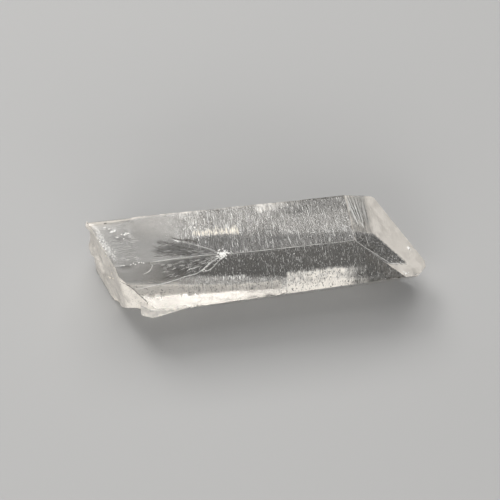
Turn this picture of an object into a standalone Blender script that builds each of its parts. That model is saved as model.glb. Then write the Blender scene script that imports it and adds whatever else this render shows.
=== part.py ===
"""Lemurian quartz point, one natural crystal lying on a face of its prism.

The crystal's long (c) axis runs along +X towards the tip and +Z is up.  The origin is the middle of
the crystal's box, on the surface it lies on.  Units are metres; sizes below are given in millimetres
times MM.  The body is grown the way quartz grows: six prism faces (m) around the axis, then three
rhombohedral faces (r) that close the tip, and then what happened to it afterwards, the snapped-off
root, the flakes, the bruised edges and the chips.
"""
import math

import bmesh
import bpy
from mathutils import Matrix, Vector

MM = 0.001

# --- the prism: six faces, each given by its direction around the axis, how far it stands from the
# --- axis abreast of the middle of the crystal, and how much it leans in towards the tip
AXIS_HEIGHT = 10.32 * MM
LOWER_FRONT_DISTANCE = 9.82 * MM
PRISM_FACES = (
    # name, degrees around the axis from straight up towards the front (-Y), distance, taper degrees
    ("m_top", 0, 10.32 * MM, 0.0),
    ("m_front_upper", 60, 10.45 * MM, 0.0),
    ("m_front_lower", 120, LOWER_FRONT_DISTANCE, 1.7),
    ("m_bottom", 180, 10.32 * MM, 0.0),
    ("m_back_lower", 240, 11.12 * MM, 4.4),
    ("m_back_upper", 300, 10.45 * MM, 0.0),
)

# --- the tip: three rhombohedral faces at quartz's own angle to the axis, and where each would cross it
RHOMB_ANGLE = 38.2
RHOMB_FACES = (
    ("r_top", 0, 40.1 * MM),
    ("r_front_lower", 120, 52.5 * MM),
    ("r_back_lower", 240, 42.3 * MM),
)

# --- later damage, each a flat break: a point on it, the compass heading its outside faces (degrees from
# --- +X towards +Y) and its tilt (degrees above the horizontal that it faces)
BREAKS = (
    ("root_snap", (-25.9 * MM, 0.0, AXIS_HEIGHT), 202.6, 0.0),
    ("root_back", (-28.6 * MM, 8.0 * MM, AXIS_HEIGHT), 180.0, 2.0),
    ("root_flake", (-20.9 * MM, -8.5 * MM, 16.5 * MM), 246.6, 9.2),
    ("root_flake_underside", (-21.3 * MM, -9.5 * MM, 8.9 * MM), 264.3, -35.0),
    ("tip_bruise", (44.6 * MM, -4.6 * MM, 6.3 * MM), -14.0, 12.0),
    ("tip_shoulder", (34.6 * MM, 9.2 * MM, 14.6 * MM), 62.0, 30.0),
    ("foot_back_of_tip", (23.0 * MM, 10.0 * MM, 0.0), 47.8, -55.0),
    ("foot_front_of_tip", (35.0 * MM, -3.0 * MM, 0.0), 276.4, -60.0),
)

EDGE_WEAR = 0.18 * MM         # width of the worn strip along every edge
EDGE_WEAR_STEPS = 2

# --- a thin growth plate that stands proud of the lower front face, just below its upper edge, near
# --- the root: full thickness at its crest, feathering out towards the tip and the foot
PLATE_FACE = 120              # degrees around the axis of the face that it grew on
PLATE_LENGTH = 10.0 * MM
PLATE_HEIGHT = 5.0 * MM
PLATE_PROUD = 1.45 * MM
PLATE_ROOTED = 1.6 * MM
PLATE_CENTRE_X = -14.0 * MM
PLATE_TOP_ABOVE_MIDDLE = 6.0 * MM
PLATE_SLOPES = (
    # where each slope starts, along and up from the plate's middle, and the way it faces
    ("root_slope", (-2.5 * MM, 0.0), (-0.3, -0.95, 0.0)),
    ("tip_slope", (-2.0 * MM, 0.0), (0.19, -0.98, 0.0)),
    ("foot_slope", (0.0, -0.5 * MM), (0.1, -1.0, -0.45)),
    ("foot_bevel", (0.0, -1.3 * MM), (-0.15, -0.55, -0.8)),
)

# --- conchoidal chips: shallow bowls, each a ball that dips into the crystal.  Where the bowl is, the
# --- ball's radius, the direction its centre lies in and the bowl's depth, all in mm
CHIPS = (
    ("root_bowl", (-26.6, 1.5, 9.5), 12.0, (-0.93, -0.35, -0.1), 0.5),
    ("root_back_bowl", (-28.9, 10.2, 13.0), 5.2, (-0.93, 0.3, 0.25), 0.8),
    ("root_foot_bowl", (-24.3, -3.7, 3.2), 6.0, (-0.7, -0.5, -0.5), 0.6),
)

STOCK = 400 * MM              # edge of the cube that the crystal is cut from


def heading_normal(heading, tilt):
    """The unit vector for a compass heading and a tilt above the horizontal."""
    flat = Matrix.Rotation(math.radians(heading), 3, "Z") @ Vector((1, 0, 0))
    rise = math.radians(tilt)
    return flat * math.cos(rise) + Vector((0, 0, math.sin(rise)))


def around_axis(degrees):
    """The unit vector across the axis, turned from straight up towards the front."""
    turn = math.radians(degrees)
    return Vector((0, -math.sin(turn), math.cos(turn)))


def trim(bm, point, outward):
    """Cut away all that lies past a plane and close the cut with one flat face."""
    everything = bm.verts[:] + bm.edges[:] + bm.faces[:]
    cut = bmesh.ops.bisect_plane(
        bm, geom=everything, dist=1e-7, plane_co=point, plane_no=outward, clear_outer=True
    )
    rim = [item for item in cut["geom_cut"] if isinstance(item, bmesh.types.BMEdge)]
    if rim:
        bmesh.ops.edgeloop_fill(bm, edges=rim)


def grow_prism(bm):
    """The six m faces."""
    on_axis = Vector((0, 0, AXIS_HEIGHT))
    for _name, degrees, distance, taper in PRISM_FACES:
        across = around_axis(degrees)
        lean = math.radians(taper)
        outward = across * math.cos(lean) + Vector((math.sin(lean), 0, 0))
        trim(bm, on_axis + across * distance, outward)


def grow_tip(bm):
    """The three r faces."""
    steep = math.radians(RHOMB_ANGLE)
    for _name, degrees, crossing in RHOMB_FACES:
        outward = Vector((math.sin(steep), 0, 0)) + around_axis(degrees) * math.cos(steep)
        trim(bm, Vector((crossing, 0, AXIS_HEIGHT)), outward)


def break_off(bm):
    """The snapped root, the flake beside it and the bruises round the tip."""
    for _name, point, heading, tilt in BREAKS:
        trim(bm, Vector(point), heading_normal(heading, tilt))


def new_object(name, bm, collection):
    """Make an object of a finished bmesh and put it in its collection."""
    bmesh.ops.recalc_face_normals(bm, faces=bm.faces[:])
    mesh = bpy.data.meshes.new(name)
    bm.to_mesh(mesh)
    bm.free()
    obj = bpy.data.objects.new(name, mesh)
    collection.objects.link(obj)
    return obj


def crystal_body(collection):
    """The faceted crystal with its edges worn."""
    bm = bmesh.new()
    bmesh.ops.create_cube(bm, size=STOCK)
    grow_prism(bm)
    grow_tip(bm)
    break_off(bm)
    bmesh.ops.bevel(
        bm, geom=bm.edges[:], offset=EDGE_WEAR, segments=EDGE_WEAR_STEPS, profile=0.5, affect="EDGES"
    )
    return new_object("quartz_point", bm, collection)


def as_tool(obj):
    """A cutter or a joined piece: drawn as wire and left out of the model."""
    obj.hide_render = True
    obj.display_type = "WIRE"
    return obj


def growth_plate(collection):
    """A tapered plate lying against the lower front face."""
    depth = PLATE_PROUD + PLATE_ROOTED
    proud_side = -depth / 2
    bm = bmesh.new()
    bmesh.ops.create_cube(bm, size=1.0)
    bmesh.ops.scale(bm, vec=(PLATE_LENGTH, depth, PLATE_HEIGHT), verts=bm.verts[:])
    for _name, (along, up), outward in PLATE_SLOPES:
        trim(bm, Vector((along, proud_side, up)), Vector(outward))
    plate = new_object("growth_plate", bm, collection)

    out_of_face = around_axis(PLATE_FACE)
    up_the_face = around_axis(PLATE_FACE - 90)
    middle = Vector((PLATE_CENTRE_X, 0, AXIS_HEIGHT)) + out_of_face * LOWER_FRONT_DISTANCE
    centre = middle + up_the_face * (PLATE_TOP_ABOVE_MIDDLE - PLATE_HEIGHT / 2)
    centre += out_of_face * (PLATE_PROUD - depth / 2)
    lean = Matrix.Rotation(math.radians(PLATE_FACE - 90), 4, "X")
    plate.matrix_world = Matrix.Translation(centre) @ lean
    return as_tool(plate)


def chip_ball(name, spot, radius, towards, depth, collection):
    """A ball whose nearest point is sunk to the chip's depth."""
    bm = bmesh.new()
    bmesh.ops.create_icosphere(bm, subdivisions=4, radius=radius * MM)
    ball = new_object(name, bm, collection)
    out = Vector(towards).normalized()
    ball.location = Vector(spot) * MM + out * (radius - depth) * MM
    return as_tool(ball)


def add_boolean(obj, tool, operation):
    """Join or cut with another object."""
    modifier = obj.modifiers.new(f"{operation.lower()} {tool.name}", "BOOLEAN")
    modifier.operation = operation
    modifier.solver = "EXACT"
    modifier.object = tool


def quartz_material():
    """Colourless quartz, faintly warm, with a glassy surface."""
    material = bpy.data.materials.new("clear_quartz")
    material.use_nodes = True
    shader = material.node_tree.nodes["Principled BSDF"]
    shader.inputs["Base Color"].default_value = (0.86, 0.85, 0.82, 1.0)
    shader.inputs["Roughness"].default_value = 0.12
    shader.inputs["Metallic"].default_value = 0.0
    shader.inputs["IOR"].default_value = 1.544
    shader.inputs["Transmission Weight"].default_value = 0.9
    return material


def rest_at_origin(obj, tools):
    """Move the crystal so that the middle of its box, at the bottom, is the origin."""
    bpy.context.view_layer.update()
    shape = obj.evaluated_get(bpy.context.evaluated_depsgraph_get()).to_mesh()
    lows = [min(v.co[axis] for v in shape.vertices) for axis in range(3)]
    highs = [max(v.co[axis] for v in shape.vertices) for axis in range(3)]
    shift = Vector((-(lows[0] + highs[0]) / 2, -(lows[1] + highs[1]) / 2, -lows[2]))
    for item in [obj, *tools]:
        item.location += shift


def main():
    for old in list(bpy.data.objects):
        bpy.data.objects.remove(old, do_unlink=True)
    model = bpy.data.collections.new("lemurian_quartz_point")
    cutters = bpy.data.collections.new("cutters")
    for collection in (model, cutters):
        bpy.context.scene.collection.children.link(collection)
    crystal = crystal_body(model)
    crystal.data.materials.append(quartz_material())
    tools = [growth_plate(cutters)]
    add_boolean(crystal, tools[0], "UNION")
    for name, spot, radius, towards, depth in CHIPS:
        ball = chip_ball(name, spot, radius, towards, depth, cutters)
        add_boolean(crystal, ball, "DIFFERENCE")
        tools.append(ball)
    rest_at_origin(crystal, tools)


main()
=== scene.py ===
"""The looks of the lemurian quartz point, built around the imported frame.

Lengths are in millimetres, and are multiplied by MM where Blender takes them.  The frame's own axes: +X runs
along the crystal to its tip, +Z is up, and the origin is under the middle of the crystal, on the surface
that it lies on.  The crystal's six long faces are called by the way they look: top, front upper, front lower,
bottom, back lower and back upper.
"""
import random
from math import cos, pi, radians, sin, tan

import bmesh
import bpy
import numpy as np
from mathutils import Matrix, Vector, noise
from mathutils.bvhtree import BVHTree
from mathutils.kdtree import KDTree


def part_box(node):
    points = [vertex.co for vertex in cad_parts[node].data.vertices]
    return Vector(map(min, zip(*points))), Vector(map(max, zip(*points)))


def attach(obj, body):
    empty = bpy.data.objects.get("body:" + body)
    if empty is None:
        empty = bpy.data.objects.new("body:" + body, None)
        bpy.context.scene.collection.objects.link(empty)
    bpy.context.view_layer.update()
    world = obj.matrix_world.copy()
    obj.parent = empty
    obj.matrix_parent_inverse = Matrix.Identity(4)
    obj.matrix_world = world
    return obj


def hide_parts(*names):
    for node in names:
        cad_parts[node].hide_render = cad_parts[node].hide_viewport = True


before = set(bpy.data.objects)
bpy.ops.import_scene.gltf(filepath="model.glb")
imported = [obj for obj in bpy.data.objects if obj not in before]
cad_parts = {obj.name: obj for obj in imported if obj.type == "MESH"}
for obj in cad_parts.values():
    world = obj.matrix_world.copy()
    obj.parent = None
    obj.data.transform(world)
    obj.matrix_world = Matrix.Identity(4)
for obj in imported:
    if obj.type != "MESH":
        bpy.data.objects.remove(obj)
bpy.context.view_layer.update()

MM = 0.001
NODE = "quartz_point"
LOW, HIGH = (Vector(corner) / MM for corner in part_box(NODE))

# --- the camera, as the photograph was taken
CAMERA_AIM = Vector((-1, 8.25, 0)) * MM
CAMERA_DISTANCE = 232 * MM
CAMERA_ELEVATION = 55
CAMERA_HEADING = 7.46  # degrees that the view is turned from +Y towards +X
CAMERA_LENS = 72
CAMERA_SENSOR = 36
CAMERA_NEAR = 10 * MM

# --- the stage
FLOOR_TONE = 0.46
FLOOR_ROUGHNESS = 0.9
FLOOR_HALF = 1.5  # metres from the middle of the floor to its edges
FLOOR_GAP = 0.05 * MM  # how far the floor lies below the crystal
LAMPS = (  # name, degrees from +Y towards +X, degrees up, metres away, size, watts
    ("softbox_behind", 0, 56, 0.8, (0.7, 0.42), 2.6),
    ("key_behind_left", -36, 46, 0.9, (0.35, 0.35), 2.4),
    ("overhead", 0, 86, 0.8, (0.4, 0.4), 1.3),
    ("card_in_front", 180, 6, 1, (1.6, 0.35), 2),
    ("fill_in_front", 180, 21, 1, (1.2, 0.22), 2.4),
    ("card_front_left", 218, 28, 1, (0.7, 0.5), 3),
)
LAMP_COLOUR = (1, 0.985, 0.96)
ROOM_TONE = (0.2, 0.205, 0.21)

# --- quartz
QUARTZ_IOR = 1.544
QUARTZ_DENSITY = 18.5  # how much light a metre of the crystal takes
QUARTZ_TINT = (0.15, 0.09, 0)  # what it lets by: a trace of warmth
CLEAR_TONE = (0.8, 0.793, 0.775)
MILKY_TONE = (0.885, 0.835, 0.768)
FROST_TONE = (0.985, 0.93, 0.85)
# the tone of the painted shade
SHADE_TONE = (0.1, 0.098, 0.092)
BUMP_HEIGHT = 0.018 * MM

# --- the quartz's fine textures: how often each changes along x, y and z (per mm), its detail, and the
# --- values of its noise that count as nothing and as full
LINES = ((2.6, 0.36, 0.36), 3, 0.51, 0.6)
FINE_LINES = ((5.5, 0.9, 0.9), 2, 0.5, 0.62)
DARK_LINES = ((3.3, 0.55, 0.55), 3, 0.52, 0.6)
SPECKS = ((3.1, 2.4, 2.4), 2, 0.53, 0.6)
PITS = ((3.6, 2.9, 2.9), 1, 0.6, 0.67)
RIPPLES = ((0.45, 3, 3), 2, 0.4, 0.65)
CLOUDS = ((0.22, 0.35, 0.35), 4)

# --- how much each of them does
FINE_LINE_SHARE = 0.7  # of the strength of the broader lines
DARK_LINE_SHADE = 0.4
STREAK_COVER = 0.22  # how much a full light line hides of what lies behind it
SHADE_COVER = 0.1
MILK_FLOOR, MILK_CLOUDS, MILK_RIPPLES = 0.62, 0.6, 0.3
MILKY_FROM, MILKY_TO = 0.2, 0.6  # the tone turns from clear to milky between them
NOISE_ROUGHNESS = 0.6
POLISH = 0.02  # roughness of a clean face
BLUR_ROUGHNESS, FROST_ROUGHNESS, ROUGHEST = 0.6, 0.3, 0.7
SPECK_HEIGHT = 0.8  # of the height of a line

# --- quartz that isn't see-through, each between two tones: crushed bits and painted highlights, warm chips, and cracks and painted shadows
CRUSHED_AND_HIGHLIGHT_TONES = ((0.9, 0.89, 0.86), (1, 0.99, 0.97))
WARM_TONES = ((0.94, 0.86, 0.73), (1, 0.94, 0.82))
# the dark tones serve the cracks and painted shadows: the shadow lines of the ladder steps and of the tip's
# steps
CRACK_AND_SHADOW_TONES = ((0.04, 0.038, 0.034), (0.18, 0.17, 0.155))
CRUSHED_GRAIN = (2, 2, 2)  # changes of tone per mm
CRUSHED_ROUGHNESS = 0.25
CRACK_AND_SHADOW_ROUGHNESS = 0.5
CRACK_AND_SHADOW_GLOSS = 0.12  # low, so that the cracks and painted shadows stay dark where the lamps mirror in them

# --- the fine mesh
SLICE_ALONG = 0.18  # spacing along the crystal
SLICE_ACROSS = 0.52  # spacing round the crystal
SHARP_EDGE = 12  # degrees between two CAD faces that make an edge worth chipping
SAME_PLACE, ON_PLANE = 1e-7, 1e-8  # metres
SAME_PLANE = 0.2  # degrees
EDGE_SPOTS = 0.15  # spacing of the places that stand for the sharp edges
SMOOTH_BELOW = 30  # degrees between two faces that look like one

# --- how deep the relief goes below the CAD surface
LADDER_STEPS = (  # the noise's pattern, its frequency along and across, and the steps' height
    (1, 0.22, 0.05, 0.03), (2, 0.8, 0.1, 0.026), (3, 2.1, 0.2, 0.02),
)
NIBBLES, WORN_EDGES = 0.14, 0.03
END_ROUNDING, TIP_FOOT_ROUNDING = 0.38, 0.08
SHELL_HOLLOWS, SHELL_RIPPLES, SHELL_GRAIN = 0.3, 0.03, 0.05
SHELL_CENTRE, SHELL_RIPPLE_GAP = (-31, -7.5, 20), 1.7
TIP_WAVES, TIP_LUMPS = 0.06, 0.1
CRATER, BACK_FLAKES, ROOT_CHIPS = 0.22, 0.1, 0.16
WORN_CORNERS = (((33.7, -9.6, 9.1), 2.6, 0.6), ((36.7, -5, 6.5), 1.6, 0.22))  # place, reach, depth
ROOT_LUMPS = 0.12
ROOT_BUMPS = (((-36, 4.8, 11), 3.6, 0.85), ((-36.1, 5.2, 20), 2.2, 0.6))  # place, reach, height

# --- places on the crystal
TOP_Z = HIGH.z
AXIS_Y, AXIS_Z = -0.45, TOP_Z / 2
RIDGE_Y = -6.57  # the edge between the top and the front upper face
TIP_START = 19.18  # x where the top ends and the point's large face begins
TIP_ANGLE = 38.2  # degrees that this face falls
UP = Vector((0, 0, 1))
LONG_FACES = (0, 60, 120, 180, 240, 300)  # degrees round the axis, from the top towards -Y
FRONT = Vector((0, -sin(radians(60)), 0.5))  # out of the front upper face
DOWN_FRONT = np.array((0, -0.5, -0.866))  # down along it
BREAK_FACE = Vector((-0.924, -0.382, 0))  # out of the broken end
TIP_FACE = Vector((sin(radians(TIP_ANGLE)), 0, cos(radians(TIP_ANGLE))))


# -------- helpers

def ease(low, high, value):
    """0 below low, 1 above high, and an easy curve between; low may be the larger one."""
    t = np.clip((value - low) / (high - low), 0, 1)
    return t * t * (3 - 2 * t)


def field(points, per_mm, seed):
    """Smooth noise from about -1 to 1 at each point, with its own frequency along each axis."""
    shift = Vector((17.3, 5.1, 9.7)) * seed
    return np.array([noise.noise(Vector(p) + shift) for p in points * np.array(per_mm)])


def from_path(points, path):
    """The distance of each point from a line through the places of path."""
    best = np.full(len(points), 1e9)
    for start, end in zip(path, path[1:]):
        start, end = np.array(start), np.array(end)
        along = end - start
        t = np.clip((points - start) @ along / (along @ along), 0, 1)
        best = np.minimum(best, np.linalg.norm(points - start - t[:, None] * along, axis=1))
    return best


def inside(points, corners, soft):
    """1 inside a convex outline given by its corners anticlockwise (x, y), 0 outside, soft at its rim."""
    depth = np.full(len(points), 1e9)
    for a, b in zip(corners, corners[1:] + corners[:1]):
        edge = np.subtract(b, a)
        inward = np.array((-edge[1], edge[0])) / np.linalg.norm(edge)
        depth = np.minimum(depth, (points[:, :2] - a) @ inward)
    return ease(-soft, soft, depth)


def covers(corners, x, y):
    """Whether a convex outline has a place inside it."""
    return inside(np.array([[x, y]]), corners, 0.1)[0] > 0.5


def on_top(x, y):
    """A place on the top face."""
    return Vector((x, y, TOP_Z))


def on_front(x, down):
    """A place on the front upper face, so far down its slope from the ridge."""
    return Vector((x, RIDGE_Y - 0.5 * down, TOP_Z - sin(radians(60)) * down))


def top_path(path):
    """Places on the top."""
    return [on_top(*p) for p in path]


def on_tip(x, y):
    """A place on the point's large face."""
    return Vector((x, y, TOP_Z - tan(radians(TIP_ANGLE)) * (x - TIP_START)))


def front_path(path):
    """Places on the front upper face."""
    return [on_front(*p) for p in path]


def tip_path(path):
    """Places on the point's large face."""
    return [on_tip(*p) for p in path]


def new_object(name, data):
    """Put a new object into the scene."""
    made = bpy.data.objects.new(name, data)
    bpy.context.scene.collection.objects.link(made)
    return made


def new_material(name, **values):
    """A material, its node tree and its shader, with plain values in the sockets that are named."""
    material = bpy.data.materials.new(name)
    material.use_nodes = True
    shader = material.node_tree.nodes["Principled BSDF"]
    for label, value in values.items():
        shader.inputs[label.replace("_", " ")].default_value = value
    return material, material.node_tree, shader


def add_piece(name, mesh, material, smooth_angle=None):
    """Put a mesh into the scene as a piece of the crystal that rides with it."""
    if smooth_angle is not None:
        mesh.shade_smooth()
        mesh.set_sharp_from_angle(angle=radians(smooth_angle))
    piece = new_object(name, mesh)
    piece.data.materials.clear()
    piece.data.materials.append(material)
    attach(piece, "root")
    return piece


STAR = on_top(-8.8, -6.25)  # where the blow fell that the feather fracture starts from


# -------- the stage

def make_camera():
    """The photograph's viewing angle."""
    data = bpy.data.cameras.new("camera")
    data.lens = CAMERA_LENS
    data.sensor_width = CAMERA_SENSOR
    data.clip_start = CAMERA_NEAR
    camera = new_object("camera", data)
    camera.rotation_euler = (radians(90 - CAMERA_ELEVATION), 0, radians(-CAMERA_HEADING))
    towards = camera.rotation_euler.to_matrix() @ Vector((0, 0, -1))
    camera.location = CAMERA_AIM - towards * CAMERA_DISTANCE
    bpy.context.scene.camera = camera


def make_floor():
    """A plain pale floor."""
    corners = [(x * FLOOR_HALF, y * FLOOR_HALF, 0) for x, y in ((-1, -1), (1, -1), (1, 1), (-1, 1))]
    mesh = bpy.data.meshes.new("floor")
    mesh.from_pydata(corners, [], [(0, 1, 2, 3)])
    tone = (FLOOR_TONE, FLOOR_TONE, FLOOR_TONE, 1)
    mesh.materials.append(new_material("floor_paper", Base_Color=tone, Roughness=FLOOR_ROUGHNESS)[0])
    floor = new_object("floor", mesh)
    floor.location.z = -FLOOR_GAP


def area_light(name, heading, elevation, distance, size, power):
    """A soft rectangular lamp that faces the crystal."""
    data = bpy.data.lights.new(name, "AREA")
    data.shape = "RECTANGLE"
    data.size, data.size_y = size
    data.energy = power
    data.color = LAMP_COLOUR
    lamp = new_object(name, data)
    turn, rise = radians(heading), radians(elevation)
    towards = Vector((sin(turn) * cos(rise), cos(turn) * cos(rise), sin(rise)))
    lamp.location = towards * distance
    lamp.rotation_euler = (-towards).to_track_quat("-Z", "Y").to_euler()


def make_lights():
    """Soft studio light, the main lamps behind and above."""
    for lamp in LAMPS:
        area_light(*lamp)
    world = bpy.data.worlds.new("studio")
    world.use_nodes = True
    background = world.node_tree.nodes["Background"].inputs
    background["Color"].default_value = (*ROOM_TONE, 1)
    background["Strength"].default_value = 1
    bpy.context.scene.world = world
    bpy.context.scene.view_settings.view_transform = "Standard"


# -------- quartz

def node(tree, kind, **values):
    """Add a shader node; the values that it has a socket for go there, and the others are its settings."""
    made = tree.nodes.new(kind)
    for name, value in values.items():
        label = name.replace("_", " ")
        if label in made.inputs:
            made.inputs[label].default_value = value
        else:
            setattr(made, name, value)
    return made


def maths(operation, first, second, clamp=False):
    """One Math node, fed with two sockets, or with a socket and a number; gives back its output."""
    tree = (first if isinstance(first, bpy.types.NodeSocket) else second).id_data
    made = tree.nodes.new("ShaderNodeMath")
    made.operation = operation
    made.use_clamp = clamp
    for socket, value in zip(made.inputs, (first, second)):
        if isinstance(value, bpy.types.NodeSocket):
            tree.links.new(value, socket)
        else:
            socket.default_value = value
    return made.outputs[0]


def times(first, second):
    """One value times another."""
    return maths("MULTIPLY", first, second)


def plus(first, second, clamp=False):
    """One value and another together."""
    return maths("ADD", first, second, clamp)


def grain(place, per_mm, detail=2):
    """A noise texture with its own frequency along each axis, from 0 to 1."""
    tree = place.id_data
    mapping = node(tree, "ShaderNodeMapping", Scale=[f / MM for f in per_mm])
    tree.links.new(place, mapping.inputs["Vector"])
    made = node(tree, "ShaderNodeTexNoise", Scale=1, Detail=detail, Roughness=NOISE_ROUGHNESS)
    tree.links.new(mapping.outputs[0], made.inputs["Vector"])
    return made.outputs["Fac"]


def between(value, low, high):
    """Stretch a value so that low becomes 0 and high becomes 1, smoothly and clamped."""
    ramp = node(value.id_data, "ShaderNodeMapRange", From_Min=low, From_Max=high)
    ramp.interpolation_type = "SMOOTHSTEP"
    value.id_data.links.new(value, ramp.inputs["Value"])
    return ramp.outputs[0]


def texture(place, per_mm, detail, low, high):
    """A noise texture that is stretched between two of its values."""
    return between(grain(place, per_mm, detail), low, high)


def blend(first, second, amount):
    """Mix two colours, each a socket or a plain colour, by a socket."""
    tree = amount.id_data
    mix = node(tree, "ShaderNodeMix", data_type="RGBA")
    for socket, colour in ((mix.inputs["A"], first), (mix.inputs["B"], second)):
        if isinstance(colour, bpy.types.NodeSocket):
            tree.links.new(colour, socket)
        else:
            socket.default_value = (*colour, 1)
    tree.links.new(amount, mix.inputs["Factor"])
    return mix.outputs["Result"]


def painted(tree, name):
    """One of the numbers that the crystal's mesh carries."""
    return node(tree, "ShaderNodeAttribute", attribute_name=name).outputs["Fac"]


def light_streaks(place, ladder):
    """The light ladder lines, broad and fine."""
    fine = times(texture(place, *FINE_LINES), FINE_LINE_SHARE)
    return times(plus(texture(place, *LINES), fine), ladder)


def all_shade(place, ladder, pits, shade):
    """Everything that darkens the quartz: the painted shade of its dark zones and dark ladder lines, and
    small pits.
    """
    dark_lines = times(times(texture(place, *DARK_LINES), ladder), DARK_LINE_SHADE)
    return plus(plus(times(texture(place, *PITS), pits), shade), dark_lines, True)


def uneven_milk(place, haze, ripples):
    """The milkiness that the mesh carries, made cloudy."""
    uneven = plus(times(grain(place, *CLOUDS), MILK_CLOUDS), times(ripples, MILK_RIPPLES))
    return times(haze, plus(MILK_FLOOR, uneven))


def quartz_material():
    """Clear quartz: see-through, with milky haze, fine ladder lines, specks and painted shade where the mesh
    says.
    """
    material, tree, shader = new_material("quartz", IOR=QUARTZ_IOR)
    place = node(tree, "ShaderNodeTexCoord").outputs["Object"]
    haze, blur, dust, ladder, frost, shade, pits = (painted(tree, name) for name, _zone in ZONES)
    ripples = texture(place, *RIPPLES)
    streaks = light_streaks(place, ladder)
    dust = times(texture(place, *SPECKS), dust)
    shade = all_shade(place, ladder, pits, shade)
    milk = uneven_milk(place, haze, ripples)

    cover = plus(milk, plus(times(streaks, STREAK_COVER), dust))
    cover = plus(cover, plus(frost, times(shade, SHADE_COVER)), True)
    tree.links.new(maths("SUBTRACT", 1, cover, True), shader.inputs["Transmission Weight"])

    rough = plus(plus(POLISH, times(blur, BLUR_ROUGHNESS)), times(frost, FROST_ROUGHNESS))
    tree.links.new(maths("MINIMUM", rough, ROUGHEST), shader.inputs["Roughness"])

    colour = blend(CLEAR_TONE, MILKY_TONE, between(milk, MILKY_FROM, MILKY_TO))
    # painted shade: the colour turns towards SHADE_TONE where the shade says
    colour = blend(blend(colour, FROST_TONE, frost), SHADE_TONE, shade)
    tree.links.new(colour, shader.inputs["Base Color"])

    height = plus(plus(streaks, times(dust, SPECK_HEIGHT)), times(ripples, blur))
    bump = node(tree, "ShaderNodeBump", Strength=1, Distance=BUMP_HEIGHT)
    tree.links.new(height, bump.inputs["Height"])
    tree.links.new(bump.outputs[0], shader.inputs["Normal"])

    inner = node(tree, "ShaderNodeVolumeAbsorption", Color=(*QUARTZ_TINT, 1), Density=QUARTZ_DENSITY)
    tree.links.new(inner.outputs[0], tree.nodes["Material Output"].inputs["Volume"])
    return material


def solid_material(name, first, second, roughness, gloss=0.5):
    """Quartz that isn't see-through, such as crushed bits, cracks, painted highlights and painted shadows,
    between two tones.
    """
    material, tree, shader = new_material(name, IOR=QUARTZ_IOR, Roughness=roughness, Specular_IOR_Level=gloss)
    place = node(tree, "ShaderNodeTexCoord").outputs["Object"]
    tree.links.new(blend(first, second, grain(place, CRUSHED_GRAIN)), shader.inputs["Base Color"])
    return material


# -------- the crystal's mesh

def slice_mesh(bm, direction, low, high, step):
    """Cut edges into the surface along evenly spaced planes, changing no shape."""
    count = int((high - low) / step)
    for i in range(1, count + 1):
        where = direction * ((low + i * step) * MM)
        everything = bm.verts[:] + bm.edges[:] + bm.faces[:]
        bmesh.ops.bisect_plane(bm, geom=everything, dist=ON_PLANE, plane_co=where, plane_no=direction)


def cad_surface():
    """A copy of the CAD crystal's surface, with its doubled points merged."""
    bm = bmesh.new()
    bm.from_mesh(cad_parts[NODE].data)
    bmesh.ops.remove_doubles(bm, verts=bm.verts[:], dist=SAME_PLACE)
    return bm


def fine_crystal():
    """The CAD crystal with a mesh fine enough to carry striations and chips."""
    bm = cad_surface()
    flat = radians(SAME_PLANE)
    bmesh.ops.dissolve_limit(bm, angle_limit=flat, verts=bm.verts[:], edges=bm.edges[:])
    slice_mesh(bm, Vector((0, 0, 1)), LOW.z, HIGH.z, SLICE_ACROSS)
    slice_mesh(bm, Vector((0, 1, 0)), LOW.y, HIGH.y, SLICE_ACROSS)
    slice_mesh(bm, Vector((1, 0, 0)), LOW.x, HIGH.x, SLICE_ALONG)
    bmesh.ops.triangulate(bm, faces=bm.faces[:])
    bm.normal_update()
    return bm


def edge_distance(points):
    """How far each point is from the nearest sharp edge of the crystal."""
    bm = cad_surface()
    spots = []
    for edge in bm.edges:
        if edge.calc_face_angle(0) > radians(SHARP_EDGE):
            a, b = (v.co / MM for v in edge.verts)
            steps = max(1, int((b - a).length / EDGE_SPOTS))
            spots += [a.lerp(b, i / steps) for i in range(steps + 1)]
    bm.free()
    tree = KDTree(len(spots))
    for i, spot in enumerate(spots):
        tree.insert(spot, i)
    tree.balance()
    return np.array([tree.find(Vector(p))[2] for p in points])


def strip_edge(x):
    """How far back on the top the clear strip beside the ridge reaches (y)."""
    return -1.4 - 0.095 * np.maximum(x + 9, 0)


def band_top(x):
    """How far down the front upper face its white lower band starts."""
    return 7.4 + 0.066 * (x + 25)


class Surface:
    """The fine mesh's points, with what each one needs to know about where it is."""

    def __init__(self, bm):
        self.at = np.array([v.co for v in bm.verts]) / MM
        self.normal = np.array([v.normal for v in bm.verts])
        self.x, self.y, self.z = self.at.T
        self.edge = edge_distance(self.at)
        facing_x = self.normal[:, 0]
        self.long_face = 1 - ease(0.12, 0.3, np.abs(facing_x))
        self.tip = ease(0.3, 0.5, facing_x)
        self.broken = ease(0.2, 0.4, -facing_x) * ease(-12, -16, self.x)
        self.top = ease(0.9, 0.97, self.normal[:, 2])
        self.front = ease(0.9, 0.97, self.normal @ np.array(FRONT))  # the front upper face
        self.down = (self.at - np.array((0, RIDGE_Y, TOP_Z))) @ DOWN_FRONT  # from the ridge
        self.smooth = ease(-14, -23, self.x + 0.35 * (self.y + 2))  # the end with no ladder lines
        self.band = self.front * ease(-0.3, 0.2, self.down - band_top(self.x))  # the white band
        self.star = self.from_place(STAR)

    def noise(self, pattern, along, across=None, upwards=None):
        """Smooth noise at each point; where only one frequency is given, it holds for all three axes."""
        return field(self.at, (along, across or along, upwards or across or along), pattern)

    def from_place(self, place):
        """The distance of each point from a place."""
        return np.linalg.norm(self.at - np.array(place), axis=1)

    def from_tip_foot(self):
        """The distance of each point from the edge where the point's large face begins."""
        return from_path(self.at, (on_top(TIP_START, RIDGE_Y + 0.6), on_top(TIP_START, 5)))


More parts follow.
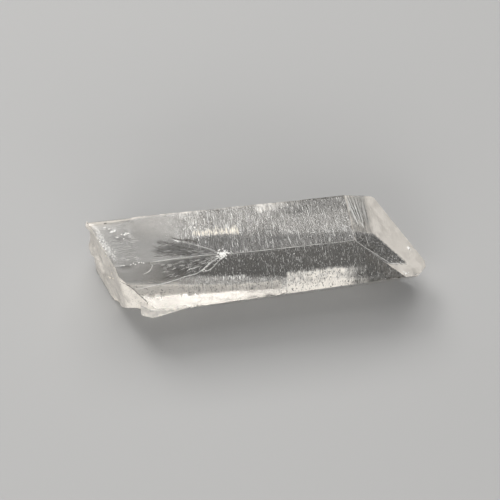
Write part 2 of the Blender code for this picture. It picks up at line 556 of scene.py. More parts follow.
def ladder_relief(s):
    """The growth steps that run round the prism like rungs, in depth below the CAD surface."""
    depth = np.zeros(len(s.at))
    for pattern, along, across, height in LADDER_STEPS:
        depth += height * (0.5 - 0.5 * np.tanh(3 * s.noise(pattern, along, across)))
    patchy = ease(-0.5, 0.4, s.noise(4, 0.1, 0.18))
    plain = (1 - 0.85 * s.smooth * (s.top + s.front)) * (1 - 0.7 * s.band)
    return depth * (0.35 + 0.65 * patchy) * s.long_face * plain


def edge_nibbles(s):
    """Small bites along the edges."""
    bite = ease(0.25, 0.6, s.noise(5, 0.7)) * ease(0.5, 0.1, s.edge)
    return NIBBLES * bite + WORN_EDGES * ease(0.4, 0, s.edge)


def worn_corners(s):
    """How deep the point's own two corners are worn."""
    return sum(depth * ease(reach, 0.2, s.from_place(place)) for place, reach, depth in WORN_CORNERS)


def rounded_edges(s):
    """Depth that rounds the edge of the broken end, the tip's corners and the foot of its large face."""
    broken_end = ease(-25, -28, s.x) * np.clip(1 - s.edge / 1.5, 0, 1) ** 2
    tip_foot = np.clip(1 - s.from_tip_foot() / 0.7, 0, 1) ** 2
    return END_ROUNDING * broken_end + worn_corners(s) + TIP_FOOT_ROUNDING * tip_foot


def shell_relief(s):
    """The shell-like hollows and ripples of the broken end."""
    hollow = 0.5 - 0.5 * s.noise(6, 0.22)
    ring = s.from_place(SHELL_CENTRE)
    ripple = 0.5 + 0.5 * np.sin(ring * 2 * pi / SHELL_RIPPLE_GAP + 2 * s.noise(7, 0.3))
    rough = 0.5 + 0.5 * s.noise(8, 1.1)
    depth = SHELL_HOLLOWS * hollow + SHELL_RIPPLES * ripple + SHELL_GRAIN * rough
    return s.broken * depth * ease(0, 1.5, s.edge)


def tip_relief(s):
    """Growth steps and gentle waves on the faces of the point."""
    waves = 0.5 + 0.5 * s.noise(9, 0.35)
    lumps = 0.5 + 0.5 * s.noise(22, 0.9)
    return (TIP_WAVES * waves + TIP_LUMPS * lumps * ease(27, 33, s.x)) * s.tip


def blow_relief(s):
    """The crater of the blow on the ridge, and the flaked places of the back edge and the root end."""
    rough = 0.6 + 0.4 * s.noise(10, 2.2)
    flakes = back_flakes(s) * (0.5 + 0.5 * s.noise(11, 1.3))
    chipped = from_path(s.at, top_path(((-32.3, 3.2), (-30.8, 2.1), (-28.2, 1.2))))
    chips = ease(1.7, 0.6, chipped) * ease(0, 0.45, s.noise(23, 0.55, 1.1, 1))
    return CRATER * ease(1, 0.15, s.star) * rough + BACK_FLAKES * flakes + ROOT_CHIPS * chips


def root_bumps(s):
    """The knobs that make the broken end's outline uneven, as height above the CAD surface."""
    height = ROOT_LUMPS * s.broken * s.noise(29, 0.45)
    for place, reach, tall in ROOT_BUMPS:
        height += tall * ease(reach, 0.3, s.from_place(place)) * s.broken
    return height


def back_flakes(s):
    """How much each point belongs to the flaked places of the top's back edge."""
    path = top_path(((0.6, 4.3), (3, 4.8), (6.3, 5.3), (8.9, 5.4)))
    left_bit = from_path(s.at, top_path(((-16.2, 5.2), (-13.2, 5.3))))
    ragged = 0.4 * s.noise(12, 0.7)
    return np.maximum(ease(1.4, 0.6, from_path(s.at, path) + ragged),
                      0.7 * ease(0.9, 0.3, left_bit + ragged))


FEATHER = ((-22.3, -3.3), (-20.6, -4.5), (-17, -5.7), (-12.5, -6.35), (-9.3, -6.3), (-12.4, -4.1),
           (-14.7, -3), (-16.6, -2.35), (-19.3, -2.35))


def feather_zone(s):
    """The wing-shaped part of the top that the feather fracture shows through."""
    ragged = (0.3 + ease(-16, -20, s.x)) * s.noise(14, 0.2, 1.3)
    return inside(s.at[:, :2] + np.stack([ragged, 0 * ragged], axis=1), FEATHER, 0.3) * s.top


WINDOW = ((19.6, -6.72), (26.1, -9.6), (31.45, -7.3), (24.5, -2.65), (18.7, -4.35))


def plate_zone(s):
    """The skin of the growth plate on the front lower side near the root."""
    slope = (1 - s.front) * ease(12.6, 12.2, s.z) * ease(6, 7, s.z) * ease(-10.6, -10.9, s.y)
    along = ease(-28.4, -27.6, s.x) * ease(-16, -17.5, s.x)
    return np.maximum(slope, ease(-11.9, -12.2, s.y)) * along


def ladder_zone(s):
    """Where the fine ladder lines show: the prism, but not its smooth root end."""
    zone = s.long_face * (1 - 0.8 * s.smooth * np.maximum(s.top, s.front)) * (1 - 0.7 * s.band)
    zone *= 0.55 + 0.45 * ease(-0.4, 0.4, s.noise(13, 0.12, 0.3))
    smooth_strip = ease(0.3, -0.5, s.y - strip_edge(s.x)) * ease(-2, 7, s.x)
    zone *= 1 - s.top * np.maximum(0.8 * feather_zone(s), 0.45 * smooth_strip)
    zone *= 1 - 0.9 * plate_zone(s)
    return np.maximum(zone, s.tip * ease(27, 22, s.x) * (1 - 0.6 * inside(s.at, WINDOW, 0.2)))


ROOT_EDGE = (on_top(-36, 5.5), on_top(-31.2, -6.4), on_front(-28.1, 5.3), on_front(-25.3, 10.4))


def haze_zone(s):
    """How milky each part of the surface is."""
    haze = 0.02 * s.long_face + s.top * top_haze(s) + s.front * front_haze(s) + tip_haze(s)
    flake = ease(-0.35, -0.6, s.normal[:, 1])
    haze += s.broken * (0.55 + 0.27 * flake) + 0.75 * grey_zone(s)
    back_edge = ease(0.6, 0.1, s.edge) * ease(4.3, 5.1, s.y) * ease(18, 20, s.z)
    back_edge *= 0.35 + 0.3 * ease(-24, -27, s.x)
    haze += 0.25 * ease(0.8, 0.1, s.from_tip_foot()) + back_edge
    root = ease(4, 0.2, from_path(s.at, ROOT_EDGE))
    haze += 0.08 * root * (s.top + s.front) * (1 - s.broken)
    return np.clip(haze * (1 + 0.15 * s.noise(15, 0.3) * (1 - s.smooth)), 0, 1)


def tip_haze(s):
    """How milky the point is: its large face is clear at its foot and in one window, and milky beyond."""
    clouded = 0.57 - 0.16 * ease(-0.1, 0.5, s.noise(32, 0.5))
    milky = 0.31 + 0.14 * ease(1, -1.5, s.y)
    milky += (clouded + 0.31 - milky) * ease(23.4, 25.2, s.x)
    return s.tip * milky * (1 - 0.92 * inside(s.at, WINDOW, 0.2))


def top_haze(s):
    """How milky the top is: most in a band, a warm patch and the root's corner, least in the feather."""
    back = s.y - strip_edge(s.x)
    strip = ease(0.3, -0.5, back) * ease(-18, -15, s.x) * (0.55 + 0.45 * ease(12, 2, s.x))
    band = ease(-0.2, 0.3, back) * ease(2.2, 0.9, back) * ease(-20, -12, s.x)
    warm = ease(2, 0.4, from_path(s.at, (on_top(-17.5, -0.9), *WARM_PATCH)))
    corner = ease(-24, -31, s.x) * (0.16 * ease(-1, 4, s.y) + 0.35 * ease(3.5, 5.4, s.y))
    smooth = 0.06 * ease(-15, -20, s.x) + 0.08 * ease(-18, -22, s.x) * ease(0.5, -1.5, s.y)
    haze = 0.01 + (0.06 + 0.06 * ease(6, 12, s.x)) * band - 0.08 * strip
    haze += (0.04 + 0.06 * ease(-16, -13, s.x)) * warm
    return haze + corner + smooth - 0.3 * feather_zone(s)


def front_haze(s):
    """How milky the front upper face is: clear above, milky below and towards the root."""
    below = below_window(s) * (1 - s.band) * (0.13 + 0.1 * ease(-17, -12, s.x))
    return below + 0.09 * ease(-21, -27, s.x)


def below_window(s):
    """The milky part of the front upper face, below its clear part."""
    start = 4 + 0.13 * np.maximum(s.x + 15, 0) + 0.12 * np.maximum(-16.6 - s.x, 0)
    soft = 0.45 + 0.9 * ease(-18, -26, s.x)
    ragged = 0.25 * s.noise(28, 1.2, 0.3)
    return ease(-1, 1, (s.down - start - 0.15 + ragged) / soft) * ease(5.5, 4, s.x)


def grey_zone(s):
    """The grey strip of the front upper face, just above its white band, with a ragged foot."""
    notch = 0.55 * ease(0, 0.5, s.noise(20, 1.5, 0.15)) * (0.2 + 0.8 * ease(-12, -16, s.x))
    start = np.minimum(5 + 0.13 * (s.x + 26), 7.6)
    foot = ease(0.25, -0.15, s.down - band_top(s.x) - notch)
    along = ease(-31.5, -29, s.x) * ease(3.6, 2.4, s.x)
    return s.front * foot * ease(-0.5, 0.3, s.down - start) * along


CLEAR_STRIP = ((-15.6, -1.75), (-9, -6.3), (3.5, -6.3), (4.2, -1.2), (-1.5, -0.8))
STRIP_PLACES = (-16, -11, -5.5, -2.5, 0, 3.5)  # x along the clear strip
STRIP_SHADES = (0.9, 0.8, 0.68, 0.2, 0.5, 0.5)  # and how dark its painted shade is there


def clear_strip(s):
    """How much painted shade darkens the top beside the ridge, from the feather to the middle, where it is
    clear.
    """
    return s.top * np.interp(s.x, STRIP_PLACES, STRIP_SHADES) * inside(s.at, CLEAR_STRIP, 0.4)


def root_shade(s):
    """How dark the broken end is: most in blotches, and more towards its top."""
    blotches = 0.22 * ease(0, 0.5, s.noise(31, 0.6, 0.8))
    return s.broken * (0.03 + 0.05 * ease(9, 13, s.z) + blotches)


def shade_zone(s):
    """Where the crystal is painted darker than its milk would make it: painted shade in its clear parts, the
    grey strip, the feather, blotches in the white band and the back of the top.
    """
    band_shade_blotches = ease(0.35, 0.6, s.noise(21, 0.9)) * s.band
    window = s.front * (1 - below_window(s)) * (1 - patch_zone(s)) * ease(-25, -17, s.x)
    window *= 1 - 0.3 * ease(21, 27, s.x)
    back_of_top = s.top * ease(0, 9, s.x) * ease(0.5, 3, s.y)
    rest = 0.15 * s.tip * ease(25.2, 23.4, s.x) + root_shade(s)
    rest += 0.14 * s.long_face * (1 - s.band) * (1 - patch_zone(s)) * ease(-18, -12, s.x)
    shade = grey_zone(s) * (0.52 - 0.12 * ease(-20, -8, s.x)) + clear_strip(s) + 0.1 * band_shade_blotches
    return np.clip(shade + 0.97 * feather_zone(s) + 0.85 * window + 0.62 * back_of_top + rest, 0, 1)


def pits_zone(s):
    """How thick the fine dark specks lie: on the front upper face and on the broken end."""
    pits = 0.35 * s.band + 0.6 * patch_zone(s) + 0.6 * grey_zone(s) + 0.3 * s.broken
    return np.clip(pits + 0.35 * s.front * (1 - s.smooth), 0, 1)


def dust_zone(s):
    """How thick the fine white specks lie, mostly on the front upper face."""
    clumps = 0.6 + 0.4 * s.noise(19, 0.25, 0.4)
    window = inside(s.at, WINDOW, 0.3) * s.tip
    both_ends = s.broken * 0.3 + 0.35 * rubbed_zone(s) + 0.3 * s.tip * ease(31, 33.5, s.x)
    plain = (1 - s.smooth) * (1 - s.band)
    dust = (0.4 * s.front + 0.04 * s.long_face) * clumps * plain + 0.3 * window
    return dust + 0.2 * grey_zone(s) + both_ends


def rubbed_zone(s):
    """The rubbed place on the top beside the broken end."""
    path = top_path(((-34, 1.2), (-33, -0.9), (-32.3, -2.8)))
    return ease(1.3, 0.3, from_path(s.at, path) + 0.5 * s.noise(24, 0.9)) * np.maximum(s.top, s.broken)


def patch_zone(s):
    """The frosted patch of the front upper face, which starts at a growth step."""
    from_step = ease(4.2, 4.6, s.x) * ease(23.5, 15, s.x + 2 * s.noise(25, 0.9, 0.15))
    ragged = 0.35 * s.noise(26, 1, 0.4)
    return s.front * from_step * ease(5.1, 5.8, s.down - 0.03 * s.x + ragged)


def blur_zone(s):
    """How much each part of the surface scatters what is seen through it."""
    blur = 0.4 * s.smooth * (s.top + s.front) + 0.8 * s.broken + 0.2 * patch_zone(s)
    return np.clip(blur + 0.5 * s.tip * (1 - inside(s.at, WINDOW, 0.3)) + 0.5 * grey_zone(s), 0, 1)


def worn_zone(s):
    """The edges that are worn white: not those of the point, the broken end and the ridge."""
    worn = ease(0.32, 0.02, s.edge) * ease(0, 0.5, s.noise(17, 0.9))
    worn *= (1 - ease(-22, -27, s.x)) * (1 - s.tip)
    return worn * (1 - ease(1.2, 0.6, np.abs(s.y - RIDGE_Y)))


def frost_zone(s):
    """Where the surface is white: chips, worn edges, the growth plate and the frosted patch with its foot."""
    speckle = s.noise(16, 1.6)
    frost = 0.4 * worn_zone(s) + 0.6 * ease(0.9, 0.4, s.star) + back_flakes(s) * (0.55 + 0.4 * speckle)
    mottle = ease(-0.5, 0.4, s.noise(18, 1.9) + 0.4 * s.noise(27, 0.5, 0.9))
    patch = patch_zone(s) * (0.45 + 0.5 * mottle)
    frost += patch * (0.88 + 0.12 * ease(7, 11, s.x))
    foot = s.front * ease(7.7, 8.7, s.down - 0.02 * s.x) * ease(3.5, 5, s.x) * ease(27, 20, s.x)
    frost += 0.75 * foot * (1 - patch)
    frost += plate_zone(s) * (0.65 + 0.3 * speckle) + 0.25 * rubbed_zone(s) * ease(-0.2, 0.4, speckle)
    mottled = 0.2 * ease(0, 0.5, s.noise(30, 0.7, 0.9))
    frost += s.broken * (mottled + 0.62 * ease(-0.35, -0.6, s.normal[:, 1]))
    frost += 0.5 * s.broken * ease(-25.6, -25, s.x)
    return np.clip(frost, 0, 1)


# --- the numbers that the mesh carries for its material
ZONES = (("haze", haze_zone), ("blur", blur_zone), ("dust", dust_zone), ("ladder", ladder_zone),
         ("frost", frost_zone), ("shade", shade_zone), ("pits", pits_zone))


def make_crystal():
    """The crystal itself, which stands for the CAD node."""
    bm = fine_crystal()
    s = Surface(bm)
    depth = ladder_relief(s) + edge_nibbles(s) + shell_relief(s) + tip_relief(s) + blow_relief(s)
    depth = np.maximum(depth, rounded_edges(s)) - root_bumps(s)
    for vert, inwards in zip(bm.verts, depth):
        vert.co -= vert.normal * (inwards * MM)
    mesh = bpy.data.meshes.new("crystal")
    bm.to_mesh(mesh)
    skin = BVHTree.FromBMesh(bm)
    bm.free()
    for name, zone in ZONES:
        mesh.attributes.new(name, "FLOAT", "POINT").data.foreach_set("value", zone(s))
    piece = add_piece("crystal", mesh, quartz_material(), SMOOTH_BELOW)
    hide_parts(NODE)
    return skin


# -------- lines, chips and fractures

LEAST_FACING = 0.6  # how squarely the surface must face a line's or a grain's normal
LINE_DEPTH = 0.12  # of a ladder line


def drop(skin, place, normal, reach=3):
    """Where the crystal's surface is, straight under a place along the normal; None if it isn't there."""
    hit, facing, _, _ = skin.ray_cast((place + normal * reach) * MM, -normal, 2 * reach * MM)
    if hit is None or facing.dot(normal) < LEAST_FACING:
        return None
    return hit / MM


def smooth_path(places, spacing):
    """Points on a smooth curve through the places."""
    ends = [2 * places[0] - places[1], *places, 2 * places[-1] - places[-2]]
    points = []
    for p0, p1, p2, p3 in zip(ends, ends[1:], ends[2:], ends[3:]):
        steps = max(2, round((p2 - p1).length / spacing))
        for i in range(steps):
            t = i / steps
            points.append(0.5 * (2 * p1 + (p2 - p0) * t + (2 * p0 - 5 * p1 + 4 * p2 - p3) * t * t
                                 + (3 * p1 - p0 - 3 * p2 + p3) * t ** 3))
    return points + [places[-1]]


def add_wedge(verts, faces, points, normal, width, depth, seed):
    """Add one crack line: a thin wedge along the points, open-mouthed at the surface, sharp below."""
    first = len(verts)
    last = len(points) - 1
    for i, point in enumerate(points):
        along = (points[min(i + 1, last)] - points[max(i - 1, 0)]).normalized()
        side = normal.cross(along).normalized()
        taper = sin(pi * (0.04 + 0.92 * i / last)) ** 0.5
        uneven = 0.65 + 0.6 * noise.noise(point * 1.3 + Vector((seed, 0, 0)))
        half = side * (0.5 * width * taper * uneven)
        verts += [point + half, point - half, point - normal * (depth * taper)]
    for i in range(last):
        a, b, c = (first + 3 * i + k for k in range(3))
        faces += [(a, b, b + 3, a + 3), (b, c, c + 3, b + 3), (c, a, a + 3, c + 3)]
    end = first + 3 * last
    faces += [(first, first + 2, first + 1), (end, end + 1, end + 2)]


def add_lines(name, skin, lines, material, spacing=0.35, proud=0.008):
    """One piece made of crack lines, each given as (places, normal, width, depth)."""
    verts, faces = [], []
    for seed, (places, normal, width, depth) in enumerate(lines):
        points = [drop(skin, p, normal) for p in smooth_path(places, spacing)]
        points = [p + normal * proud for p in points if p is not None]
        if len(points) > 2:
            add_wedge(verts, faces, points, normal, width, depth, seed)
    mesh = bpy.data.meshes.new(name)
    mesh.from_pydata([v * MM for v in verts], [], faces)
    return add_piece(name, mesh, material)


# --- the ladder lines: how many are tried on each long face, by its degrees round the axis
TOP, FRONT_UPPER = 0, 60
LIGHT_LADDERS = {TOP: 1250, FRONT_UPPER: 2100, "others": 260}
DARK_LADDERS = {TOP: 1700, FRONT_UPPER: 1900, "others": 160}
RUNGS = 70  # places along the crystal that they gather round
RIDGE_ABOVE_MIDDLE = 6  # how far the ridge is up the front upper face from its middle


def ladder_stays(chance, angle, x, middle, end, in_strip):
    """Whether a ladder line at x stays, given the y of its middle and how far across its face it ends."""
    if x < -19 + 5 * chance.random() or (angle == TOP and x > 4 and chance.random() < 0.42):
        return False
    if angle == FRONT_UPPER:
        return end <= band_top(x) - RIDGE_ABOVE_MIDDLE
    if angle != TOP:
        return True
    if covers(FEATHER, x, middle):
        return False
    return not covers(CLEAR_STRIP, x, middle) or chance.random() <= in_strip


def ladder_lines(chance, counts, width, front_width, in_strip):
    """Crisp ladder lines across the long faces: white ones, the steps' frosting and partly painted glints,
    and dark ones, painted shadows of the steps.

    counts says how many are tried on each face, width is the range of their widths, which front_width
    scales on the front upper face, and in_strip is the share that stays in the clear strip.
    """
    rungs = [chance.uniform(-20, 27) for _ in range(RUNGS)]
    for angle in LONG_FACES:
        turn = radians(angle)
        normal = Vector((0, -sin(turn), cos(turn)))
        across = Vector((0, -cos(turn), -sin(turn)))
        base = Vector((0, AXIS_Y, AXIS_Z)) + normal * AXIS_Z
        in_front = angle == FRONT_UPPER
        for _ in range(counts.get(angle, counts["others"])):
            x = chance.choice(rungs) + chance.gauss(0, 1.3)
            start = chance.uniform(-6.4, 5.2)
            length = 0.18 + chance.expovariate(4.2) if in_front else min(0.25 + chance.expovariate(1.5), 3)
            middle = base.y - start - length / 2
            if not ladder_stays(chance, angle, x, middle, start + length, in_strip):
                continue
            lean = chance.gauss(0.03, 0.02) * length
            places = [base + Vector((x + lean * t, 0, 0)) + across * (start + length * t) for t in (0, 1)]
            scale = front_width if in_front else 1
            yield places, normal, chance.uniform(*width) * scale, LINE_DEPTH


WARM_PATCH = top_path(((-14.5, 0.2), (-11.7, -0.05), (-5.6, -0.8)))
PATCH_LINES = 270


def warm_patch_lines(chance):
    """The dense bright lines on the middle of the top, above the feather."""
    for _ in range(PATCH_LINES):
        x = -4.7 - 9.6 * chance.random() ** 1.15
        length = chance.uniform(0.4, 1.4)
        foot = -1 - 0.13 * (x + 11.7) + abs(chance.gauss(0, 0.7)) + 0.06 * (x + 5)
        places = [on_top(x, foot), on_top(x + 0.03 * length, foot + length)]
        yield places, UP, chance.uniform(0.03, 0.1), LINE_DEPTH


# --- the rays, as (x, y) on the top or (x, how far down) on the front upper face
UPPER_RAY = ((-9.3, -5.95), (-12.5, -4), (-14.7, -2.95), (-16.6, -1.95))
UPPER_RAY_END = ((-13.2, -2.9), (-14.5, -2.2), (-16.8, -1.62), (-17.8, -1.3), (-18.4, -0.97),
                 (-18.9, -0.46))
RIDGE_RAY = ((-9.6, -6.25), (-13.7, -6.1), (-16.2, -6.25), (-17.9, -6.2), (-23.6, -6.45))
LOWER_RAY = ((-9.6, 0.5), (-12.15, 2.25), (-13.2, 3), (-14.5, 3.65), (-16.6, 4), (-18.35, 4.45),
             (-20.9, 5), (-24.2, 5.4), (-26.7, 5.7), (-28.1, 5.05))
LOOP_UPPER = ((-9.6, 0.7), (-11.4, 1.5), (-12.95, 2.85))
LOOP_LOWER = ((-9.3, 1), (-10.7, 2.45), (-12, 3.25), (-13.3, 3.3))
SHORT_RAY = ((-9.9, 0.5), (-12.3, 1.4), (-13.9, 2.05), (-15.8, 2.5))
ARC_CRACK = ((-23.3, 0.3), (-23.25, 0.9), (-23.95, 1.9), (-25.2, 2.5))
SMALL_PIT = ((-32.5, 4.6), (-32.2, 4.65), (-31.9, 4.6))
FLAKE_LINE = ((-31.16, 3.1), (-28.1, 5.3), (-26.6, 7.2), (-25.2, 8.9), (-25.3, 10.4))


def star_rays():
    """The main lines of the fracture that the blow started, with an arc and a bright line at its far end."""
    beside_end = [(x, y - 0.42) for x, y in UPPER_RAY_END[2:5]]
    yield top_path(UPPER_RAY), UP, 0.08, 1.2
    yield top_path(RIDGE_RAY), UP, 0.1, 1.5
    yield front_path(LOWER_RAY), FRONT, 0.16, 1.6
    yield front_path(LOOP_UPPER), FRONT, 0.1, 0.8
    yield front_path(LOOP_LOWER), FRONT, 0.12, 0.8
    yield front_path(SHORT_RAY), FRONT, 0.08, 0.9
    yield front_path(ARC_CRACK), FRONT, 0.13, 0.8
    yield top_path(beside_end), UP, 0.2, 0.3


FAN_NARROWS = 1.3  # degrees less for each mm away from the star
SHORT_STROKES = 34  # on the front upper face, to the right of the star and below it


def outwards(turn, start, length):
    """Three places along a stroke that points away from the star, as offsets along x and sideways."""
    return [((start + length * t) * cos(turn), (start + length * t) * sin(turn)) for t in (0, 0.5, 1)]


def fan_on_top(chance, count, turns, starts, lengths, widths, depth, squash=1):
    """Strokes on the top that point away from the star, between two headings in degrees."""
    for _ in range(count):
        turn = radians(chance.uniform(*turns))
        stroke = outwards(turn, chance.uniform(*starts), chance.uniform(*lengths))
        places = top_path([(STAR.x + x, STAR.y - y * squash) for x, y in stroke])
        yield places, UP, chance.uniform(*widths), depth


def fan_on_front(chance, count, turns, starts, lengths, widths):
    """Strokes on the front upper face that point away from the star, in a fan that narrows."""
    for _ in range(count):
        start, length = chance.uniform(*starts), chance.uniform(*lengths)
        turn = radians(chance.uniform(turns[0], turns[1] - FAN_NARROWS * start))
        places = front_path([(STAR.x + x, -y) for x, y in outwards(turn, start, length)])
        yield places, FRONT, chance.uniform(*widths), 0.3


def feather_barbs(chance):
    """The fine barbs of the feather, which fan out from the star over the top and the front upper face."""
    yield from fan_on_top(chance, 26, (181, 207), (1, 12), (0.8, 2.2), (0.02, 0.04), 0.3, 0.8)
    yield from fan_on_front(chance, 110, (183, 214), (0.6, 12.5), (0.4, 1.3), (0.03, 0.07))
    for _ in range(SHORT_STROKES):
        x, down, length = chance.uniform(-9, -4.3), chance.uniform(4.7, 5.4), chance.uniform(0.3, 0.9)
        places = front_path(((x, down), (x + 0.03, down + length)))
        yield places, FRONT, chance.uniform(0.09, 0.18), 0.1


# --- the growth steps at the foot of the point's large face, and how wide each one's line is, a painted highlight
TIP_STEPS = (
    (((19.36, 5.6), (20.7, -0.95), (20.85, -1.6)), 0.55),
    (((20.95, 6.2), (21.6, 0), (22.15, -1.95)), 0.42),
    (((22.5, 4.9), (22.05, -1.6)), 0.26),
    (((19.95, 6), (21.2, -0.6)), 0.22),
    (((21.8, 6.3), (22.1, 0.2)), 0.22),
    (((23.3, 6), (23.3, 0.6)), 0.18),
    (((19.5, 3.2), (19.85, 1.9)), 0.34),
)
STEP_SHADOW = 0.42  # how far each step's dark line, its painted shadow, lies to the right of its light one, its painted highlight


def dark_strokes(chance):
    """The dark lines: the upper ray's end, the flake's edge, a pit, the tip steps' painted shadows and two
    fans.
    """
    yield top_path(UPPER_RAY_END), UP, 0.42, 0.5
    yield front_path(FLAKE_LINE), FRONT, 0.26, 0.3
    yield top_path(SMALL_PIT), UP, 0.7, 0.2
    for step, _width in TIP_STEPS:
        yield tip_path([(x + STEP_SHADOW, y) for x, y in step]), TIP_FACE, 0.16, 0.1
    yield from fan_on_top(chance, 90, (184, 202), (4, 13.2), (0.7, 1.8), (0.05, 0.13), 0.4)
    yield from fan_on_front(chance, 70, (184, 216), (1.5, 12.5), (0.6, 1.8), (0.05, 0.1))


def tip_lines():
    """The slanted growth lines at the foot of the point's large face, white as painted highlights of its
    steps.
    """
    return [(tip_path(step), TIP_FACE, width, LINE_DEPTH) for step, width in TIP_STEPS]


# where painted highlight lines run: the tip's lower edge and the foot of its clear window
TIP_RIM = ((19.3, -6.55), (23.3, -8.05), (26.6, -9.15), (28.7, -9.35), (29.7, -10.6))
WINDOW_FOOT = ((26.8, -9.15), (29.2, -8.3), (31.4, -7.4))
ROOT_LINES = 80


def edge_lines(chance):
    """Thin bright lines on the ridge and the tip's lower edge, painted highlights of these edges, and faint
    ones on the top's smooth end.
    """
    yield [on_top(x, RIDGE_Y + 0.12) for x in (-7.5, 0, 8, 18.8)], UP, 0.09, 0.1
    yield [on_top(x, RIDGE_Y + 0.25) for x in (-30.8, -29.9, -28.9)], UP, 0.12, 0.1
    yield tip_path(TIP_RIM), TIP_FACE, 0.14, 0.1
    yield tip_path(WINDOW_FOOT), TIP_FACE, 0.16, 0.1
    for _ in range(ROOT_LINES):
        x, y = chance.uniform(-31.8, -26.5), chance.uniform(-5.8, 0.5)
        length = chance.uniform(0.4, 1.4)
        places = top_path(((x, y), (x + length, y - 0.06 * length)))
        yield places, UP, chance.uniform(0.013, 0.028), 0.1


def add_grains(name, skin, grains, material):
    """One piece made of small grains of crushed quartz, each given as (place, normal, size, stretch)."""
    bm = bmesh.new()
    chance = random.Random(name)
    for place, normal, size, stretch in grains:
        spot = drop(skin, place, normal)
        if spot is None:
            continue
        spin = Matrix.Rotation(chance.uniform(0, 6.28), 4, "Z")
        turn = spin @ Matrix.Rotation(chance.uniform(0, 3.1), 4, "X")
        made = bmesh.ops.create_icosphere(bm, subdivisions=1, radius=0.5)["verts"]
        for vert in made:
            corner = turn @ (vert.co * chance.uniform(0.7, 1.3))
            vert.co = (spot + Vector((corner.x * stretch, corner.y, corner.z * 0.6)) * size) * MM
    mesh = bpy.data.meshes.new(name)
    bm.to_mesh(mesh)
    bm.free()
    return add_piece(name, mesh, material)


STAR_CHIPS, STAR_FRONT_CHIPS, RAY_CRUMBS, TRAIL_BITS = 84, 50, 22, 26


def somewhere_on(chance, path):
    """A random place on a line through the places of path."""
    a, b = (Vector(p) for p in chance.choice(list(zip(path, path[1:]))))
    return a.lerp(b, chance.random())


def star_grains(chance):
    """The crushed heart of the star, crumbs along its rays, and bits along the ridge to its right."""
    for _ in range(STAR_CHIPS):
        away, turn = abs(chance.gauss(0, 0.62)), chance.uniform(0, 2 * pi)
        place = STAR + Vector((away * cos(turn), away * abs(sin(turn)) - 0.1, 0))
        yield place, UP, chance.uniform(0.12, 0.42), 1
    for _ in range(STAR_FRONT_CHIPS):
        place = on_front(STAR.x + chance.gauss(-0.1, 0.5), abs(chance.gauss(0, 0.5)))
        yield place, FRONT, chance.uniform(0.12, 0.4), 1
    for ray in (LOWER_RAY[:6], LOOP_UPPER, LOOP_LOWER, SHORT_RAY):
        for _ in range(RAY_CRUMBS):
            spot = somewhere_on(chance, ray)
            place = on_front(spot.x + chance.gauss(0, 0.12), spot.y + chance.gauss(0, 0.12))
            yield place, FRONT, chance.uniform(0.06, 0.2), 1.3
    for _ in range(TRAIL_BITS):
        x = STAR.x + 0.8 + chance.expovariate(0.45)
        place = on_top(x, RIDGE_Y + 0.25 + abs(chance.gauss(0, 0.15)))
        yield place, UP, chance.uniform(0.08, 0.22), 1.3


# --- single bright bits, white chips whose white is partly painted glint: each one's place, size and stretch
SPARKS = ((-32.4, 3.6, 0.6, 1.2), (-30.8, 2.3, 0.75, 2.4), (-27.8, 1.45, 0.6, 2.2), (-30, 0.75, 0.5, 2.2),
          (-29, 1.35, 0.3, 3.2), (-28.6, 0.15, 0.25, 3.4), (-31.6, 3.15, 0.4, 1.8), (-34.2, 1.15, 0.5, 1.2),
          (-28.4, 1.2, 0.35, 2.4), (-30.3, 2.6, 0.3, 2), (-33.6, 0.3, 0.35, 1), (-32.9, -1, 0.45, 1.3),
          (-32.5, -1.9, 0.35, 1), (-33, -0.3, 0.3, 1.2), (-29, -6.35, 0.4, 1), (-27, -6.15, 0.3, 1),
          (-25.9, -6.25, 0.42, 1.2), (-25.3, -6.35, 0.3, 1), (-24.9, -6.45, 0.38, 1),
          (-26.6, -6.45, 0.24, 1), (-27.6, -6.35, 0.22, 1), (18.4, -0.45, 0.34, 1), (18.7, -0.9, 0.24, 1),
          (18.1, -2.65, 0.46, 1), (17.3, -2.25, 0.3, 1), (18.3, -5.05, 0.4, 1), (17.9, -0.05, 0.2, 1),
          (15.5, 2.85, 0.24, 1.3), (14.1, 4.85, 0.24, 1.2), (10.7, 6.1, 0.24, 1.2), (18, -1.2, 0.22, 1.4))
FRONT_SPARKS = ((-15.8, 2.5, 0.42, 1.2), (-15.5, 2.2, 0.25, 1), (-16.1, 2.7, 0.22, 1),
                (-13.1, 3, 0.34, 1.2), (-12.8, 2.7, 0.24, 1), (6.2, 1.5, 0.28, 1.4),
                (-31.9, 2.9, 0.35, 1.2), (-32.3, 2.2, 0.28, 1), (-31.6, 3.6, 0.24, 1),
                (-11.9, 2.2, 0.22, 1.2), (26.6, 5.9, 0.34, 1.4))
TIP_SPARKS = ((30.2, -10.45, 0.55, 1.2), (29.7, -10.2, 0.35, 1), (31, -9.9, 0.3, 1),
              (32.8, -2.6, 0.75, 1.2), (33.3, -2.9, 0.35, 1), (28.9, -8.6, 0.22, 1), (28.2, -7.4, 0.18, 1),
              (27.3, -8.5, 0.2, 1), (29.6, -7.7, 0.18, 1))
BREAK_SPARKS = ((-32.7, -2.9, 11.3, 0.42, 1.2), (-32.2, -4.2, 12.7, 0.36, 1),
                (-33.1, -1.9, 10.2, 0.28, 1.2), (-32.2, -4.2, 14.6, 0.34, 1), (-31.9, -4.8, 13.6, 0.28, 1),
                (-32.6, -3.2, 16.2, 0.26, 1), (-32.8, -2.8, 19.3, 0.34, 1), (-32.6, -3.2, 17.7, 0.24, 1),
                (-33.4, -1.2, 19.9, 0.28, 1))

RIM_CRUMBS, CORNER_CRUMBS = 170, 22
LARGE_SPARK = 0.4  # a spark of this size on the top is a cluster of bits
CLUSTER = 7
ROOT_RIM = ((-34.6, 2.6), (-33.6, 0.3), (-32.8, -1.6), (-31.6, -4.6))


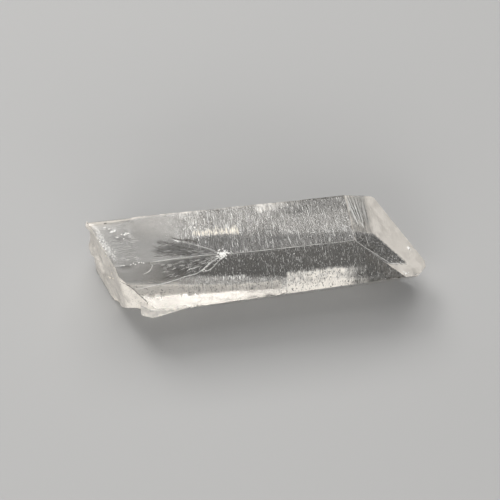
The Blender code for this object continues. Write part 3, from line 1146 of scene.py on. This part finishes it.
def rim_grains(chance):
    """The crumbs of crushed quartz on both sides of the top's edge at the broken end."""
    for _ in range(RIM_CRUMBS):
        spot = Vector((*somewhere_on(chance, ROOT_RIM), TOP_Z))
        if chance.random() < 0.5:
            spot += Vector((chance.gauss(0.5, 0.5), chance.gauss(0, 0.4), 0))
            yield spot, UP, chance.uniform(0.06, 0.24), 1
        else:
            spot.z -= 0.3 + chance.expovariate(0.22)
            yield spot, BREAK_FACE, chance.uniform(0.05, 0.16), 1


def spark_grains(chance):
    """The crumbs of the broken end's rim, and bright bits on the top, the front upper face and the tip,
    partly painted glints.
    """
    yield from rim_grains(chance)
    for x, y, size, stretch in SPARKS:
        cluster = size >= LARGE_SPARK
        for _ in range(CLUSTER if cluster else 1):
            reach = 0.28 * size * stretch * cluster
            place = on_top(x + chance.uniform(-reach, reach), y + chance.uniform(-0.4, 0.4) * reach)
            yield place, UP, size * (0.45 if cluster else 1), stretch ** 0.5
    for x, down, size, stretch in FRONT_SPARKS:
        yield on_front(x, down), FRONT, size, stretch
    for x, y, size, stretch in TIP_SPARKS:
        yield on_tip(x, y), TIP_FACE, size, stretch
    for _ in range(CORNER_CRUMBS):
        x = chance.uniform(26.5, 30.5)
        place = on_tip(x, -8.6 + 0.35 * (x - 26.5) + chance.uniform(0, 1.8))
        yield place, TIP_FACE, chance.uniform(0.08, 0.16), 1.2


def add_details(skin):
    """Everything that is on and in the crystal's skin."""
    chance = random.Random(7)
    white = solid_material("crushed_quartz_and_highlights", *CRUSHED_AND_HIGHLIGHT_TONES, CRUSHED_ROUGHNESS)
    warm = solid_material("warm_chips", *WARM_TONES, CRUSHED_ROUGHNESS)
    dark = solid_material("dark_crack_and_painted_shadow", *CRACK_AND_SHADOW_TONES, CRACK_AND_SHADOW_ROUGHNESS, CRACK_AND_SHADOW_GLOSS)
    lines = ladder_lines(chance, LIGHT_LADDERS, (0.03, 0.09), 0.75, 0.45)
    add_lines("ladder_lines", skin, lines, white)
    lines = ladder_lines(chance, DARK_LADDERS, (0.04, 0.1), 1.1, 1)
    add_lines("ladder_shadows", skin, lines, dark)
    add_lines("bright_ladder_patch", skin, warm_patch_lines(chance), warm)
    add_lines("star_rays", skin, star_rays(), white, spacing=0.15)
    add_lines("feather_barbs", skin, feather_barbs(chance), white, spacing=0.3)
    add_lines("dark_fractures_and_painted_shadows", skin, dark_strokes(chance), dark, spacing=0.3, proud=0.022)
    add_lines("tip_growth_line_highlights", skin, tip_lines(), white, spacing=0.3, proud=0.03)
    add_lines("edge_lines", skin, edge_lines(chance), white, spacing=0.5)
    add_grains("crushed_star", skin, star_grains(chance), white)
    add_grains("bright_bits", skin, spark_grains(chance), white)
    warm_bits = [(Vector(spot), BREAK_FACE, size, stretch) for *spot, size, stretch in BREAK_SPARKS]
    add_grains("warm_bits", skin, warm_bits, warm)


def main():
    make_camera()
    make_floor()
    make_lights()
    add_details(make_crystal())


main()
